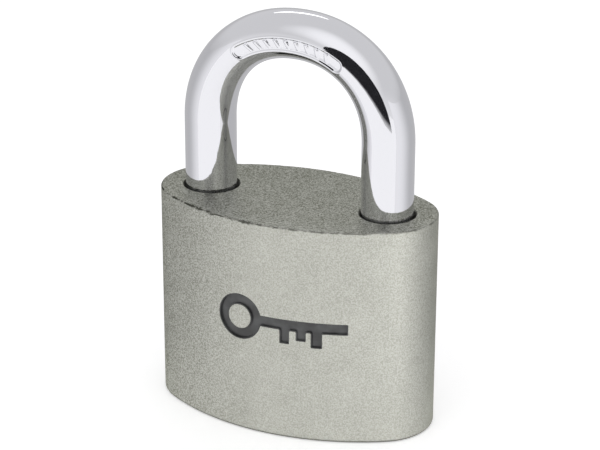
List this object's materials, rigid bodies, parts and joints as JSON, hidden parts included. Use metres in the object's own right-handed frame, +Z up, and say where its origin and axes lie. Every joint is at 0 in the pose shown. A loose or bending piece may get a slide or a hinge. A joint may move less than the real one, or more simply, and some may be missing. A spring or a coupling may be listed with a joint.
{
  "type": "padlock",
  "caption": "Lens-shaped satin iron padlock with a round polished chrome shackle, pin-tumbler cylinder, spring bolt and keeper pins, shown closed.",
  "frame": {"origin": "centre of the underside of the lock body", "axes": "+X along the width towards the long heel leg, +Y towards the back, +Z up along the shackle legs"},
  "size_m": [0.063, 0.035, 0.0901],
  "materials": {
    "satin_iron": "bead-blasted satin nickel plate over iron",
    "polished_chrome": "polished chrome plate",
    "machined_steel": "turned steel",
    "spring_steel": "drawn wire",
    "brass": "turned brass"
  },
  "bodies": {
    "lock_body": {"lock_body": "satin_iron", "bolt_bore_cap": "satin_iron", "shackle_keeper_pin": "machined_steel", "plug_keeper_pin": "machined_steel", "shackle_spring": "spring_steel", "bolt_spring": "spring_steel", "chamber_cap_1": "satin_iron", "chamber_cap_2": "satin_iron", "chamber_cap_3": "satin_iron", "chamber_cap_4": "satin_iron", "chamber_cap_5": "satin_iron", "pin_spring_1": "spring_steel", "pin_spring_2": "spring_steel", "pin_spring_3": "spring_steel", "pin_spring_4": "spring_steel", "pin_spring_5": "spring_steel"},
    "shackle": {"shackle": "polished_chrome"},
    "bolt": {"locking_bolt": "machined_steel"},
    "plug": {"cylinder_plug": "brass", "tail_pin": "machined_steel"},
    "driver_1": {"driver_pin_1": "brass"},
    "key_pin_1": {"key_pin_1": "brass"},
    "driver_2": {"driver_pin_2": "brass"},
    "key_pin_2": {"key_pin_2": "brass"},
    "driver_3": {"driver_pin_3": "brass"},
    "key_pin_3": {"key_pin_3": "brass"},
    "driver_4": {"driver_pin_4": "brass"},
    "key_pin_4": {"key_pin_4": "brass"},
    "driver_5": {"driver_pin_5": "brass"},
    "key_pin_5": {"key_pin_5": "brass"}
  },
  "joints": [
    {"name": "shackle_lift", "type": "slide", "parent": "lock_body", "child": "shackle", "axis": [0, 0, 1], "range_m": [0, 0.0155], "deforming": ["shackle_spring"]},
    {"name": "plug_turn", "type": "hinge", "parent": "lock_body", "child": "plug", "pos_m": [0, 0, 0.017], "axis": [0, 0, -1], "range_deg": [0, 90]},
    {"name": "bolt_slide", "type": "slide", "parent": "lock_body", "child": "bolt", "axis": [-1, 0, 0], "range_m": [0, 0.0036], "deforming": ["bolt_spring"]},
    {"name": "driver_1_slide", "type": "slide", "parent": "lock_body", "child": "driver_1", "axis": [-1, 0, 0], "range_m": [0, 0.00145], "stiffness_N_per_m": 60, "springref_m": -0.001, "deforming": ["pin_spring_1"]},
    {"name": "driver_2_slide", "type": "slide", "parent": "lock_body", "child": "driver_2", "axis": [-1, 0, 0], "range_m": [0, 0.00235], "stiffness_N_per_m": 60, "springref_m": -0.001, "deforming": ["pin_spring_2"]},
    {"name": "driver_3_slide", "type": "slide", "parent": "lock_body", "child": "driver_3", "axis": [-1, 0, 0], "range_m": [0, 0.00095], "stiffness_N_per_m": 60, "springref_m": -0.001, "deforming": ["pin_spring_3"]},
    {"name": "driver_4_slide", "type": "slide", "parent": "lock_body", "child": "driver_4", "axis": [-1, 0, 0], "range_m": [0, 0.00195], "stiffness_N_per_m": 60, "springref_m": -0.001, "deforming": ["pin_spring_4"]},
    {"name": "driver_5_slide", "type": "slide", "parent": "lock_body", "child": "driver_5", "axis": [-1, 0, 0], "range_m": [0, 0.00075], "stiffness_N_per_m": 60, "springref_m": -0.001, "deforming": ["pin_spring_5"]},
    {"name": "key_pin_1_drop", "type": "slide", "parent": "plug", "child": "key_pin_1", "axis": [0, 1, 0], "range_m": [0, 0.00235]},
    {"name": "key_pin_2_drop", "type": "slide", "parent": "plug", "child": "key_pin_2", "axis": [0, 1, 0], "range_m": [0, 0.00145]},
    {"name": "key_pin_3_drop", "type": "slide", "parent": "plug", "child": "key_pin_3", "axis": [0, 1, 0], "range_m": [0, 0.00285]},
    {"name": "key_pin_4_drop", "type": "slide", "parent": "plug", "child": "key_pin_4", "axis": [0, 1, 0], "range_m": [0, 0.00185]},
    {"name": "key_pin_5_drop", "type": "slide", "parent": "plug", "child": "key_pin_5", "axis": [0, 1, 0], "range_m": [0, 0.00305]}
  ],
  "couplings": [
    {"joint": "bolt_slide", "follows": "plug_turn", "m_per_rad": 0.0022918}
  ]
}
